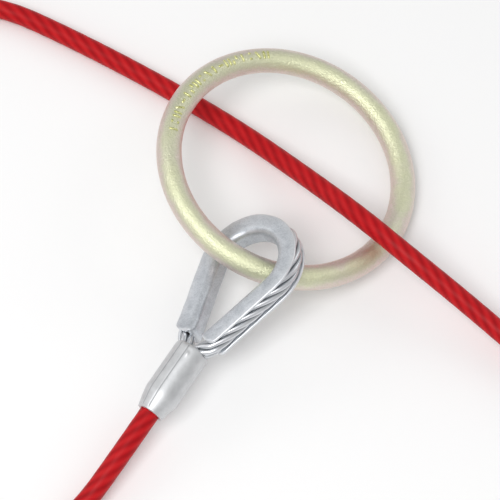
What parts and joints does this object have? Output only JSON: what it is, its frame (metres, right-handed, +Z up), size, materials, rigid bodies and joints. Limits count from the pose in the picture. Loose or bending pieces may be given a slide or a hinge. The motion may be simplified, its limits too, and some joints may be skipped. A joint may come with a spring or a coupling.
{
  "type": "thimble eye",
  "caption": "Thimble eye of a vinyl-coated wire rope choker, with an O-ring threaded through the eye and the cable passing through the ring to a second eye.",
  "frame": {"origin": "on the surface that the eye and the O-ring lie on, under the middle of their box", "axes": "+Z up; +Y along the length of the eye and ring together; +X across them, to the right"},
  "size_m": [0.3457, 0.24, 0.0361],
  "materials": {
    "zinc_yellow": "yellow zinc plating, slightly iridescent, satin",
    "galvanised": "galvanised steel, mottled, satin",
    "ferrule": "pressed, matt",
    "rope_steel": "bright galvanised strands",
    "red_vinyl": "translucent red vinyl coating, semi-gloss"
  },
  "bodies": {
    "sling": {"thimble": "galvanised", "ferrule": "ferrule", "core_strand": "rope_steel", "outer_strand_1": "rope_steel", "outer_strand_2": "rope_steel", "outer_strand_3": "rope_steel", "outer_strand_4": "rope_steel", "outer_strand_5": "rope_steel", "outer_strand_6": "rope_steel", "cable_jacket": "red_vinyl", "cable_rope": "rope_steel", "far_thimble": "galvanised", "far_ferrule": "ferrule", "far_core_strand": "rope_steel", "far_outer_strand_1": "rope_steel", "far_outer_strand_2": "rope_steel", "far_outer_strand_3": "rope_steel", "far_outer_strand_4": "rope_steel", "far_outer_strand_5": "rope_steel", "far_outer_strand_6": "rope_steel"},
    "ring": {"o_ring": "zinc_yellow"}
  },
  "joints": [
    {"name": "ring_swing", "type": "hinge", "parent": "sling", "child": "ring", "pos_m": [-0.00934, -0.01956, 0.02167], "axis": [0.9222, -0.2714, -0.2753], "range_deg": [-10, 5]}
  ]
}
